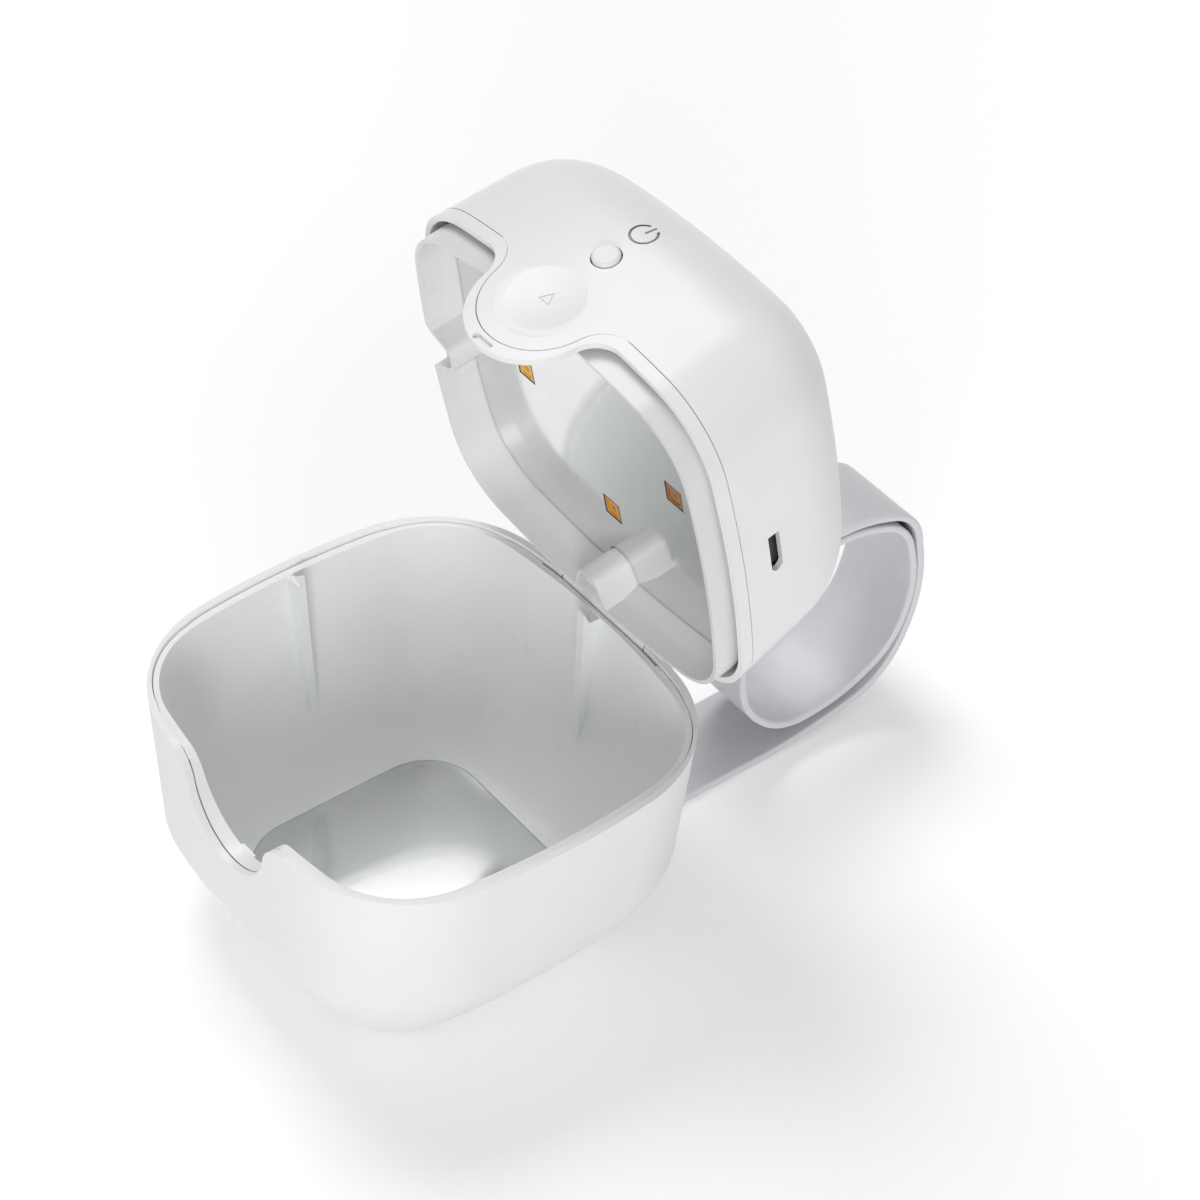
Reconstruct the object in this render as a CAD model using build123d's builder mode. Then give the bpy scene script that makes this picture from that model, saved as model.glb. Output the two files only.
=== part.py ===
"""Portable ultraviolet sterilizer case for one pacifier.

A rounded cup with a hinged lid that holds the lamps, the battery and the electronics. A soft band
leaves the cup's underside and is snapped into a loop behind it, to hang the case from a stroller.

Frame: millimetres, +X to the right seen from the front, -Y is the front with the thumb notch,
+Z up. The origin is on the ground under the middle of the cup's foot. The lid stands open.
"""
import os
from math import cos, hypot, pi, radians, sin, sqrt, tan

from build123d import *

os.makedirs("parts", exist_ok=True)

# ---- Cup, outside ---------------------------------------------------------------------------
base_height = 40.7
base_half_width = 37.5
base_front = -34.65
base_back = 34.65
side_bulge_r = 135.0        # radius of the four shallow side curves
base_corner_r = 21.6
base_side_draft = 0.099     # inward run for each millimetre of depth
base_front_draft = 0.0
base_back_draft = 0.10
base_round_in = 11.85       # how far the lower rounding runs inwards
base_round_up = 18.0        # and how high it starts above the foot
base_round_power = 1.3
base_corner_loss = 1.32     # corner radius lost for each millimetre of rounding
corner_least = 1.0
shell_wall = 1.1
shell_floor = 1.2

# ---- Cup liner ------------------------------------------------------------------------------
liner_inset = 2.5           # from the cup's outside to the liner's inside, at the rim
liner_corner_loss = 5.9
liner_half_width = base_half_width - liner_inset
liner_front = base_front + liner_inset
liner_back = base_back - liner_inset
liner_corner_r = base_corner_r - liner_corner_loss
liner_side_draft = 0.14
liner_front_draft = 0.09
liner_back_draft = 0.14
liner_floor_top = 4.0       # height of the inner floor above the ground
liner_round_in = 6.8
liner_wall = 0.9
liner_rim_drop = 0.5        # the liner's rim lies this far below the shell's rim
liner_flange = 1.0
part_gap = 0.12             # between pieces that are pushed together
rib_rise = 1.7              # the two ribs stand above the shell's rim by this much
rib_length = 32.2
rib_lean = 0.054            # inward run of the ribs' faces for each millimetre down
side_rib = (3.6, 2.9, 0.6)  # how far it stands in, how far its top slopes back, half its width
back_rib = (3.1, 1.1, 0.8)

# ---- Thumb notch and latch nub --------------------------------------------------------------
notch_r = 10.0
notch_centre_drop = 2.3
notch_shoulder_r = 5.0
notch_edge = 1.2            # the liner closes the wall round the notch over this width
nub_width = 3.2
nub_height = 0.6
nub_reach = 0.45

# ---- Floor mirror ---------------------------------------------------------------------------
mirror_side_margin = 12.7
mirror_front_margin = 10.85
mirror_back_margin = 14.35
mirror_half_width = liner_half_width - mirror_side_margin
mirror_front = liner_front + mirror_front_margin
mirror_back = liner_back - mirror_back_margin
mirror_corner_r = 9.0
mirror_thickness = 0.5

# ---- Hinge ----------------------------------------------------------------------------------
hinge_inset = 0.29
hinge_y = base_back - hinge_inset
hinge_drop = 0.95           # axis below the cup's rim
open_angle = 80.8
knuckle_r = 1.4
pin_r = 0.65
pin_clearance = 0.05
knuckle_half = 9.9
ear_gap = 0.4
ear_width = 3.6
hinge_cut_clearance = 0.3
heel_half = 4.0
heel_reach = 3.9            # from the axis to the tip of the heel that stops the opening lid
heel_thickness = 1.3
heel_gap = 0.08

# ---- Lid, outside (heights are above the lid's own rim) ---------------------------------------
lid_drop = 0.4              # the closed lid's rim lies this far below the cup's rim
lid_height = 29.0
lid_side_inset = 2.0
lid_front_inset = 3.35
lid_back_inset = 3.05
lid_half_width = base_half_width - lid_side_inset
lid_front = base_front + lid_front_inset
lid_back = base_back - lid_back_inset
lid_corner_r = 13.9
lid_side_draft = 0.095
lid_front_draft = -0.03
lid_back_draft = 0.17
lid_round_in = 21.5
lid_round_up = 16.5
lid_round_power = 2.4
lid_corner_loss = 0.5
lobe_lean = 0.08            # inward run of the lobe for each millimetre below the rim
lid_wall = 1.0
lid_roof = 1.3

# ---- Rim frame, lobe and thumb dish -----------------------------------------------------------
band_height = 2.0
groove = 0.16               # fine joint between the shell and the rim frame
lobe_r = 10.5
lobe_centre_drop = 2.6
lobe_fillet_r = 5.0
tab_r = 9.8
tab_centre_drop = 1.1
tab_fillet_r = 6.0
backing_inset = 1.2         # the lobe's backing is smaller than the lobe by this much
cap_thickness = 1.9
slot_width = 3.9
slot_height = 1.1
slot_depth = 0.6
dish_r = 7.6
dish_depth = 0.55
dish_centre_drop = 1.0
mark_size = 1.45
mark_line = 0.45
mark_depth = 0.15

# ---- Lid liner, lamps and boards --------------------------------------------------------------
skirt_reach = 3.3           # the skirt hangs this far below the lid's rim
skirt_inset = 1.9
skirt_wall = 0.65
dent_back_depth = 4.85      # from the skirt's outside to the floor of a dent
dent_side_depth = 5.4
dent_floor_half = 1.55      # a dent widens from its floor to its shoulders, and flares from there
dent_shoulder = 4.1
dent_shoulder_half = 3.1
dent_mouth = 5.3
dent_mouth_half = 4.3
dent_round = 1.5
dent_top = 3.0
roof_bottom = 3.9
roof_thickness = 1.3
reflector_bottom = 3.2
reflector_thickness = 0.6
lamp_size = 3.5
lamp_base = 3.1
lamp_spacing_x = 17.8       # lamp centres from the middle of the four
lamp_spacing_y = 16.2
lamp_middle_y = -1.4
lamp_sunk = 0.05            # the lamps' faces lie this far behind the mirror's face
lamp_hollow = 0.15
lamp_package = 1.2
lamp_window = 2.7
board_gap = 0.4
board_bottom = 5.6
board_side_margin = 13.5
board_back_margin = 11.6
board_half_width = lid_half_width - board_side_margin
board_half_depth = lid_back - board_back_margin
board_thickness = 1.0
tongue_margin = 4.0
tongue_end = lid_half_width - tongue_margin     # the board's tongue under the socket
tongue_width = 12.0
boss_side_margin = 10.0
boss_back_margin = 11.1
boss_x = lid_half_width - boss_side_margin
boss_y = lid_back - boss_back_margin
boss_r = 2.6
screw_fit = 0.03
lid_screw_r = 0.95
lid_screw_head_r = 1.8
lid_screw_head = 0.6
lid_screw_length = 7.0
board_screw_x = 18.5
board_screw_y = 15.5
board_screw_r = 0.75
board_screw_head_r = 1.5
board_screw_head = 0.8
board_screw_depth = 1.4
solder_gap = 0.05
chip_places = (             # middle x, y and size along x, y of each chip
    (-9.0, -5.0, 7.0, 7.0), (9.0, 6.0, 5.0, 4.0), (8.0, -8.0, 3.9, 4.9), (-12.0, 8.0, 4.5, 2.0),
)
chip_height = 1.1
sensor_margin = 6.0
sensor_x = lid_half_width - sensor_margin
sensor_y = -4.9
sensor_size = (2.9, 1.5, 1.1)

# ---- Power button and its switch --------------------------------------------------------------
button_height = 9.5
button_r = 2.1
button_gap = 0.25
button_proud = 0.7
button_travel = 0.4
button_flange_r = 3.2
button_flange = 0.7
button_stem_r = 1.2
button_fit = 0.3
plunger_gap = 0.1           # left between stem and plunger with the button fully pressed
plunger_r = 0.9
plunger_length = 0.6
switch_size = 4.2
switch_depth = 1.6
button_board_half = 8.0
button_board_top = 14.0
post_half = 1.3
post_height = 6.5
cable_width = 5.0
cable_thickness = 0.3
cable_length = 9.5
symbol_height = 16.1
symbol_r = 2.0
symbol_line = 0.42
symbol_depth = 0.2

# ---- Charging socket --------------------------------------------------------------------------
socket_width = 7.5
socket_thickness = 2.6
socket_depth = 5.6
socket_wall = 0.3
socket_y = 0.5
port_width = 7.2
port_height = 2.1
port_chamfer = 0.7
contact_width = 4.0
contact_thickness = 0.6

# ---- Battery ----------------------------------------------------------------------------------
battery_width = 34.0
battery_depth = 24.0
battery_thickness = 7.0
battery_y = -1.5
battery_edge_r = 1.5
pad_width = 28.0
pad_depth = 16.0
pad_thickness = 0.9
lead_r = 0.5
lead_places = (6.0, 8.2)
lead_reach = 3.0

# ---- Sensor magnet ----------------------------------------------------------------------------
magnet_r = 2.0
magnet_thickness = 0.5
magnet_margin = 3.0
magnet_x = base_half_width - magnet_margin
magnet_y = -4.0
magnet_drop = 10.7
magnet_z = base_height - magnet_drop

# ---- Strap ------------------------------------------------------------------------------------
strap_width = 16.0
strap_thickness = 1.3
strap_recess = 1.6
strap_rivet_r = 1.1
strap_rivet_head_r = 2.4
strap_rivet_spacing = 8.0
strap_upset = 0.3
strap_route = [             # (y, height) of the band's middle line, from under the cup
    (6.0, 0.65), (66.0, 0.65), (84.0, 4.6), (90.6, 20.0), (88.6, 36.0),
    (78.0, 40.2), (60.0, 40.2), (54.4, 30.0), (54.6, 13.0), (62.5, 4.4), (75.0, 5.3),
    (85.2, 10.8), (89.1, 22.0), (86.8, 34.4), (77.2, 38.6), (63.5, 38.6),
]
strap_hole_gap = 0.05
strap_rivet_y = 10.0
stud_y = 69.0
stud_cap_r = 3.0
stud_cap = 1.2
stud_post_r = 1.6

rim_z = base_height
seam_z = rim_z - lid_drop
hinge_z = rim_z - hinge_drop


# ---- Shared shapes ----------------------------------------------------------------------------
def rounded_outline(half_width, front, back, corner_r):
    """Four shallow side arcs joined by tangent corner arcs. Called inside a BuildLine."""
    half_depth = (back - front) / 2
    middle = (back + front) / 2
    left = side_bulge_r - half_width
    below = side_bulge_r - half_depth
    span = hypot(left, below)
    lift = sqrt((side_bulge_r - corner_r) ** 2 - (span / 2) ** 2)
    corner_x = -left / 2 + lift * below / span
    corner_y = -below / 2 + lift * left / span
    side_dir = Vector(corner_x + left, corner_y).normalized()
    back_dir = Vector(corner_x, corner_y + below).normalized()
    side_end = Vector(-left, 0) + side_dir * side_bulge_r
    back_end = Vector(0, -below) + back_dir * side_bulge_r
    corner_mid = Vector(corner_x, corner_y) + (side_dir + back_dir).normalized() * corner_r

    def at(point, sign_x, sign_y):
        return (point.X * sign_x, point.Y * sign_y + middle)

    for sign in (1, -1):
        ThreePointArc(at(side_end, sign, -1), (half_width * sign, middle), at(side_end, sign, 1))
        ThreePointArc(at(back_end, -1, sign), (0, half_depth * sign + middle), at(back_end, 1, sign))
        for other in (1, -1):
            ends = at(side_end, sign, other), at(corner_mid, sign, other), at(back_end, sign, other)
            ThreePointArc(*ends)


def cup_levels(half_width, front, back, corner_r, height, drafts, rounding, corner_loss, past=0.0):
    """Outlines of a drafted cup with a rounded closed end: distance from the rim and its sizes."""
    side_draft, front_draft, back_draft = drafts
    round_in, round_up, power = rounding
    straight = height - round_up
    stops = [(-past, 0.0)]
    steps = 7
    for step in range(steps + 1):
        turn = pi / 2 * step / steps
        rise = sin(turn) ** (2 / power)
        run = 1 - max(cos(turn), 0.0) ** (2 / power)
        stops.append((straight + round_up * rise, round_in * run))
    return [
        (
            depth,
            half_width - side_draft * depth - inset,
            front + front_draft * depth + inset,
            back - back_draft * depth - inset,
            max(corner_r - corner_loss * inset, corner_least),
        )
        for depth, inset in stops
    ]


def lofted(levels, rim, direction, straights=1):
    """Solid through the outlines: the first few spans are straight, the rounded end is smooth.

    The direction is +1 where the form closes upwards and -1 where it closes downwards.
    """
    spans = [levels[first:first + 2] for first in range(straights)] + [levels[straights:]]
    with BuildPart() as body:
        for span in spans:
            for depth, half_width, front, back, corner_r in span:
                with BuildSketch(Plane.XY.offset(rim + direction * depth)):
                    with BuildLine():
                        rounded_outline(half_width, front, back, corner_r)
                    make_face()
            loft(ruled=len(span) == 2)
    return body.part


def base_cup(inset, floor, past=0.0):
    """The cup's outside form, moved inwards by inset and up from the ground by floor."""
    levels = cup_levels(
        base_half_width - inset, base_front + inset, base_back - inset, base_corner_r - inset,
        base_height - floor, (base_side_draft, base_front_draft, base_back_draft),
        (base_round_in, base_round_up, base_round_power), base_corner_loss, past,
    )
    return lofted(levels, rim_z, -1)


def liner_cup(grow, past=0.0):
    """The liner's inside form, moved outwards and down by grow."""
    levels = cup_levels(
        liner_half_width + grow, liner_front - grow, liner_back + grow, liner_corner_r + grow,
        base_height - liner_floor_top + grow, (liner_side_draft, liner_front_draft, liner_back_draft),
        (liner_round_in, base_round_up, base_round_power), base_corner_loss, past,
    )
    return lofted(levels, rim_z, -1)


def lid_form(inset, top=0.0):
    """The lid's outside form with its lobe's lean, moved inwards by inset, down from the top by top."""
    reach = lobe_centre_drop + lobe_r + 2
    foot = (-reach, lid_half_width - inset, lid_front + lobe_lean * reach + inset,
            lid_back - inset, lid_corner_r - inset)
    above = cup_levels(
        lid_half_width - inset, lid_front + inset, lid_back - inset, lid_corner_r - inset,
        lid_height - top, (lid_side_draft, lid_front_draft, lid_back_draft),
        (lid_round_in, lid_round_up, lid_round_power), lid_corner_loss,
    )
    return lofted([foot] + above, seam_z, 1, straights=2)


def lobe_outline(line_z, centre_z, radius, fillet_r, top_z):
    """Straight edge at line_z with a round lobe hanging from it. Called inside a BuildLine."""
    half = 2 * base_half_width
    fillet_z = line_z - fillet_r
    fillet_x = sqrt((radius + fillet_r) ** 2 - (fillet_z - centre_z) ** 2)
    touch = Vector(fillet_x, fillet_z - centre_z).normalized() * radius + Vector(0, centre_z)
    middle = (Vector(0, 1) + (touch - Vector(fillet_x, fillet_z)).normalized()).normalized()
    bend = Vector(fillet_x, fillet_z) + middle * fillet_r
    for sign in (1, -1):
        Line((half * sign, top_z), (half * sign, line_z))
        Line((half * sign, line_z), (fillet_x * sign, line_z))
        ThreePointArc((fillet_x * sign, line_z), (bend.X * sign, bend.Y), (touch.X * sign, touch.Y))
    ThreePointArc((touch.X, touch.Y), (0, centre_z - radius), (-touch.X, touch.Y))
    Line((half, top_z), (-half, top_z))


def front_prism(line_z, centre_z, radius, fillet_r, top_z):
    """A lobe outline pushed through the front wall only."""
    with BuildPart() as prism:
        with BuildSketch(Plane.XZ):
            with BuildLine():
                lobe_outline(line_z, centre_z, radius, fillet_r, top_z)
            make_face()
        extrude(amount=2 * base_half_width)
    return prism.part


def slab(low, high):
    """Everything between two heights."""
    with BuildPart() as block:
        with BuildSketch(Plane.XY.offset(low)):
            Rectangle(4 * base_half_width, 4 * base_half_width)
        extrude(amount=high - low)
    return block.part


lid_opening = Location((0, hinge_y, hinge_z)) * Location((0, 0, 0), (-open_angle, 0, 0))
lid_opening = lid_opening * Location((0, -hinge_y, -hinge_z))


def save(piece, name, on_lid=False):
    """Label one finished piece and write it; the lid's pieces are swung open first."""
    solid = lid_opening * piece.part if on_lid else piece.part
    solid.label = name
    export_step(solid, f"parts/{name}.step")


notch_space = front_prism(
    rim_z, rim_z - notch_centre_drop, notch_r, notch_shoulder_r, rim_z + base_height
)
notch_surround = front_prism(
    rim_z, rim_z - notch_centre_drop, notch_r + notch_edge, notch_shoulder_r, rim_z + band_height
)
lobe_space = front_prism(
    seam_z, seam_z - lobe_centre_drop, lobe_r, lobe_fillet_r, seam_z + band_height
)
backing_space = front_prism(
    seam_z, seam_z - lobe_centre_drop, lobe_r - backing_inset, lobe_fillet_r, seam_z + band_height
)
tab_line = seam_z + band_height
tab_space = front_prism(
    tab_line + groove, seam_z - tab_centre_drop, tab_r, tab_fillet_r, tab_line + 2 * groove
)
tab_clearance = front_prism(
    tab_line + groove, seam_z - tab_centre_drop, tab_r + groove, tab_fillet_r - groove,
    tab_line + 2 * groove
)

# ---- Base shell -------------------------------------------------------------------------------
hinge_cut_bottom = hinge_z - knuckle_r - hinge_cut_clearance
hinge_cut_half = knuckle_half + ear_gap
ear_outer = hinge_cut_half + ear_width
base_outside = base_cup(0, 0)
shell_hollow = base_cup(shell_wall, shell_floor, past=1.0)
strap_pocket_top = strap_recess + shell_floor - 0.2

with BuildPart() as base_shell:
    add(base_outside)
    add(shell_hollow, mode=Mode.SUBTRACT)
    # Raised floor over the recess that takes the end of the strap
    with BuildSketch(Plane.XY):
        with Locations((0, strap_route[0][0] + base_back / 3)):
            Rectangle(strap_width + 3, base_back / 1.5 + 3)
    extrude(amount=strap_pocket_top)
    add(base_outside, mode=Mode.INTERSECT)
    with BuildSketch(Plane.XY):
        with Locations((0, strap_route[0][0] + base_back / 2 - 1)):
            Rectangle(strap_width + 0.5, base_back)
    extrude(amount=strap_recess, mode=Mode.SUBTRACT)
    # Ears that carry the hinge pin
    with BuildSketch(Plane.YZ.offset(-ear_outer)):
        with Locations((hinge_y, hinge_z)):
            Circle(knuckle_r)
        with Locations((hinge_y - knuckle_r / 2, hinge_z - knuckle_r)):
            Rectangle(knuckle_r, 2 * knuckle_r)
    extrude(amount=2 * ear_outer)
    with BuildSketch(Plane.XY.offset(hinge_cut_bottom)):
        with Locations((0, base_back)):
            Rectangle(2 * hinge_cut_half, base_back / 3)
    extrude(amount=base_height, mode=Mode.SUBTRACT)
    add(liner_cup(liner_wall + part_gap, past=4.0), mode=Mode.SUBTRACT)
    add(notch_space, mode=Mode.SUBTRACT)
    with BuildSketch(Plane.YZ.offset(-ear_outer - 1)):
        with Locations((hinge_y, hinge_z)):
            Circle(pin_r + pin_clearance / 5)
    extrude(amount=2 * ear_outer + 2, mode=Mode.SUBTRACT)
    for sign in (1, -1):
        with BuildSketch(Plane.XY):
            with Locations((sign * strap_rivet_spacing / 2, strap_rivet_y)):
                Circle(strap_rivet_r + strap_hole_gap)
        extrude(amount=base_height / 4, mode=Mode.SUBTRACT)
save(base_shell, "base_shell")

# ---- Base liner -------------------------------------------------------------------------------
liner_outside = liner_cup(liner_wall)
liner_hollow = liner_cup(0, past=1.0)
liner_rim = rim_z - liner_rim_drop
rib_top = rim_z + rib_rise
rib_bottom = rib_top - rib_length
rib_shelf = liner_rim - part_gap
nub_z = rim_z - notch_centre_drop - notch_r - nub_height
nub_y = liner_front + liner_front_draft * (rim_z - nub_z)


def upright_rib(wall, shape, outer, turn):
    """A fin on one wall of the liner that leans inwards; its top slopes back down to the rim."""
    stand, slope, half = shape
    face = wall - stand
    with BuildPart() as rib:
        with BuildSketch(Plane.XZ.offset(-half)):
            with BuildLine():
                Polyline(
                    (face, rib_top), (face + slope, rib_shelf), (outer, rib_shelf),
                    (outer, rib_bottom), (face - rib_lean * rib_length, rib_bottom), close=True
                )
            make_face()
        extrude(amount=2 * half)
    return rib.part.rotate(Axis.Z, turn) & (liner_outside + slab(rib_shelf, rib_top))


with BuildPart() as base_liner:
    # Flange that closes the gap to the shell at the rim, relieved for the hinge ears
    with BuildSketch(Plane.XY.offset(liner_rim - liner_flange)):
        with BuildLine():
            rounded_outline(
                base_half_width - shell_wall - part_gap - base_side_draft * liner_flange,
                base_front + shell_wall + part_gap,
                base_back - shell_wall - part_gap - base_back_draft * liner_flange,
                base_corner_r - shell_wall - part_gap,
            )
        make_face()
        with Locations((0, base_back)):
            Rectangle(2 * (ear_outer + ear_gap), base_back / 3, mode=Mode.SUBTRACT)
    extrude(amount=liner_flange)
    add(liner_outside)
    # Fold that closes the wall round the notch, just behind the flange's edge
    add(notch_surround & base_cup(shell_wall + 2 * part_gap, shell_floor + part_gap, past=1.0))
    add(liner_hollow, mode=Mode.SUBTRACT)
    # Nub that the lid's slot snaps over
    with BuildSketch(Plane.XZ.offset(-nub_y - nub_reach)):
        with Locations((0, nub_z + nub_height / 2)):
            Rectangle(nub_width, nub_height)
    extrude(amount=nub_reach + liner_wall / 2)
    # Level rim, the two ribs, hinge cut-out and notch
    add(slab(liner_rim, rim_z + base_height), mode=Mode.SUBTRACT)
    add(upright_rib(liner_back, back_rib, base_back, 90))
    add(upright_rib(liner_half_width, side_rib, base_half_width, 180))
    with BuildSketch(Plane.XY.offset(hinge_cut_bottom)):
        with Locations((0, base_back)):
            Rectangle(2 * hinge_cut_half, 2 * (hinge_inset + knuckle_r + hinge_cut_clearance))
    extrude(amount=base_height, mode=Mode.SUBTRACT)
    add(notch_space, mode=Mode.SUBTRACT)
    # Recess for the floor mirror
    with BuildSketch(Plane.XY.offset(liner_floor_top - mirror_thickness)):
        with Locations((0, (mirror_front + mirror_back) / 2)):
            RectangleRounded(
                2 * (mirror_half_width + part_gap), mirror_back - mirror_front + 2 * part_gap,
                mirror_corner_r + part_gap,
            )
    extrude(amount=2 * mirror_thickness, mode=Mode.SUBTRACT)
save(base_liner, "base_liner")

# ---- Floor mirror -----------------------------------------------------------------------------
with BuildPart() as floor_mirror:
    with BuildSketch(Plane.XY.offset(liner_floor_top - mirror_thickness)):
        with Locations((0, (mirror_front + mirror_back) / 2)):
            RectangleRounded(2 * mirror_half_width, mirror_back - mirror_front, mirror_corner_r)
    extrude(amount=mirror_thickness)
save(floor_mirror, "floor_mirror")

# ---- Hinge pin --------------------------------------------------------------------------------
with BuildPart() as hinge_pin:
    with BuildSketch(Plane.YZ.offset(-ear_outer)):
        with Locations((hinge_y, hinge_z)):
            Circle(pin_r)
    extrude(amount=2 * ear_outer)
    chamfer(hinge_pin.edges().filter_by(GeomType.CIRCLE), 0.2)
save(hinge_pin, "hinge_pin")

# ---- Sensor magnet, held between shell and liner beside the charging socket -------------------
wall_lean = Vector(1, 0, -(base_side_draft + liner_side_draft) / 2).normalized()

with BuildPart() as sensor_magnet:
    with BuildSketch(Plane(origin=(magnet_x, magnet_y, magnet_z), z_dir=wall_lean)):
        Circle(magnet_r)
    extrude(amount=magnet_thickness)
save(sensor_magnet, "sensor_magnet")


# ---- Strap ------------------------------------------------------------------------------------
def route_radii(points):
    """The largest arc that each corner's two runs allow."""
    radii = []
    for before, corner, after in zip(points, points[1:], points[2:]):
        first = Vector(*corner) - Vector(*before)
        second = Vector(*after) - Vector(*corner)
        turn = radians(first.get_angle(second))
        radii.append(0.45 * min(first.length, second.length) / tan(turn / 2))
    return radii


strap_radii = route_radii(strap_route)
print("strap bend radii", [round(radius, 1) for radius in strap_radii])

with BuildPart() as strap:
    with BuildLine(Plane.YZ) as strap_path:
        FilletPolyline(*strap_route, radius=strap_radii)
    with BuildSketch(Plane.XZ.offset(-strap_route[0][0])):
        with Locations((0, strap_route[0][1])):
            Rectangle(strap_width, strap_thickness)
    sweep(path=strap_path.line)
    for sign in (1, -1):
        with BuildSketch(Plane.XY):
            with Locations((sign * strap_rivet_spacing / 2, strap_rivet_y)):
                Circle(strap_rivet_r + strap_hole_gap)
        extrude(amount=2 * strap_thickness, mode=Mode.SUBTRACT)
        with BuildSketch(Plane.XY):
            with Locations((sign * strap_rivet_spacing / 2, strap_rivet_y)):
                Circle(strap_rivet_head_r + strap_hole_gap)
        extrude(amount=strap_thickness / 2, mode=Mode.SUBTRACT)
    with BuildSketch(Plane.XY.offset(strap_route[-1][1] - 2 * strap_thickness)):
        with Locations((0, stud_y)):
            Circle(stud_post_r + strap_hole_gap)
    extrude(amount=5 * strap_thickness, mode=Mode.SUBTRACT)
strap_length = sum(edge.length for edge in strap_path.edges())
print("strap length", round(strap_length, 1), "volume ratio",
      round(strap.part.volume / (strap_length * strap_width * strap_thickness), 4))
save(strap, "strap")

# ---- Rivets that hold the strap's end in the recess under the cup -----------------------------
with BuildPart() as strap_rivets:
    with BuildSketch(Plane.XY.offset(strap_hole_gap)):
        with Locations(*[(sign * strap_rivet_spacing / 2, strap_rivet_y) for sign in (1, -1)]):
            Circle(strap_rivet_head_r)
    extrude(amount=strap_thickness / 2 - strap_hole_gap)
    with BuildSketch(Plane.XY.offset(strap_hole_gap)):
        with Locations(*[(sign * strap_rivet_spacing / 2, strap_rivet_y) for sign in (1, -1)]):
            Circle(strap_rivet_r)
    extrude(amount=strap_pocket_top - strap_hole_gap)
    with BuildSketch(Plane.XY.offset(strap_pocket_top + strap_hole_gap / 2)):
        with Locations(*[(sign * strap_rivet_spacing / 2, strap_rivet_y) for sign in (1, -1)]):
            Circle(strap_rivet_head_r)
    extrude(amount=strap_upset)
    with BuildSketch(Plane.XY.offset(strap_pocket_top - strap_hole_gap)):
        with Locations(*[(sign * strap_rivet_spacing / 2, strap_rivet_y) for sign in (1, -1)]):
            Circle(strap_rivet_r)
    extrude(amount=2 * strap_hole_gap)
save(strap_rivets, "strap_rivets")

# ---- Snap stud that joins the strap's end to the band's outer layer ---------------------------
stud_low = strap_route[-1][1] - strap_thickness / 2 - part_gap
stud_high = strap_route[6][1] + strap_thickness / 2 + part_gap
with BuildPart() as snap_stud:
    with BuildSketch(Plane.XY.offset(stud_low - stud_cap)):
        with Locations((0, stud_y)):
            Circle(stud_cap_r)
    extrude(amount=stud_cap)
    fillet(snap_stud.edges().sort_by(Axis.Z)[0], stud_cap / 2)
    with BuildSketch(Plane.XY.offset(stud_low)):
        with Locations((0, stud_y)):
            Circle(stud_post_r)
    extrude(amount=stud_high - stud_low)
save(snap_stud, "snap_stud")

with BuildPart() as snap_cap:
    with BuildSketch(Plane.XY.offset(stud_high)):
        with Locations((0, stud_y)):
            Circle(stud_cap_r)
    extrude(amount=stud_cap)
    fillet(snap_cap.edges().sort_by(Axis.Z)[-1], stud_cap / 2)
save(snap_cap, "snap_cap")

# ---- Rim frame: band, lobe, cap and hinge knuckle ---------------------------------------------
lid_outside = lid_form(0)
lid_hollow = lid_form(lid_wall, lid_roof)
tab_pocket = tab_clearance - lid_form(lid_wall + part_gap)
cap_inside = lid_form(cap_thickness)
lobe_foot = seam_z - lobe_centre_drop - lobe_r - 1
lobe_mid = seam_z - skirt_reach - board_gap
slot_z = nub_z + nub_height / 2
slot_y = lid_front + lobe_lean * (seam_z - slot_z)

with BuildPart() as rim_frame:
    add(lid_outside & slab(seam_z, tab_line))
    add(lid_outside & lobe_space & slab(lobe_foot, seam_z))
    add(lid_hollow & slab(lobe_mid, tab_line), mode=Mode.SUBTRACT)
    add((lid_hollow - backing_space) & slab(lobe_foot, lobe_mid), mode=Mode.SUBTRACT)
    add(cap_inside & slab(lobe_foot, lobe_mid), mode=Mode.SUBTRACT)
    add(tab_pocket, mode=Mode.SUBTRACT)
    with BuildSketch(Plane.XZ.offset(-slot_y - slot_depth)):
        with Locations((0, slot_z)):
            RectangleRounded(slot_width, slot_height, slot_height / 3)
    extrude(amount=2 * slot_depth, mode=Mode.SUBTRACT)
    # Arm and barrel, and the heel that meets the cup's back wall when the lid is open
    with BuildSketch(Plane.YZ.offset(-knuckle_half)):
        with Locations(((lid_back - lid_wall * 0.9 + hinge_y) / 2, (seam_z + hinge_z + knuckle_r) / 2)):
            Rectangle(hinge_y - lid_back + lid_wall * 0.9, hinge_z + knuckle_r - seam_z)
        with Locations((hinge_y, hinge_z)):
            Circle(knuckle_r)
    extrude(amount=2 * knuckle_half)
    with BuildSketch(Plane.YZ.offset(-heel_half)):
        with Locations(Location((hinge_y, hinge_z), open_angle)):
            with Locations((heel_gap + heel_thickness / 2, -(heel_reach + pin_r) / 2)):
                Rectangle(heel_thickness, heel_reach - pin_r)
    extrude(amount=2 * heel_half)
    with BuildSketch(Plane.YZ.offset(-knuckle_half)):
        with Locations((hinge_y, hinge_z)):
            Circle(pin_r + pin_clearance)
    extrude(amount=2 * knuckle_half, mode=Mode.SUBTRACT)
save(rim_frame, "rim_frame", on_lid=True)

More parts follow.
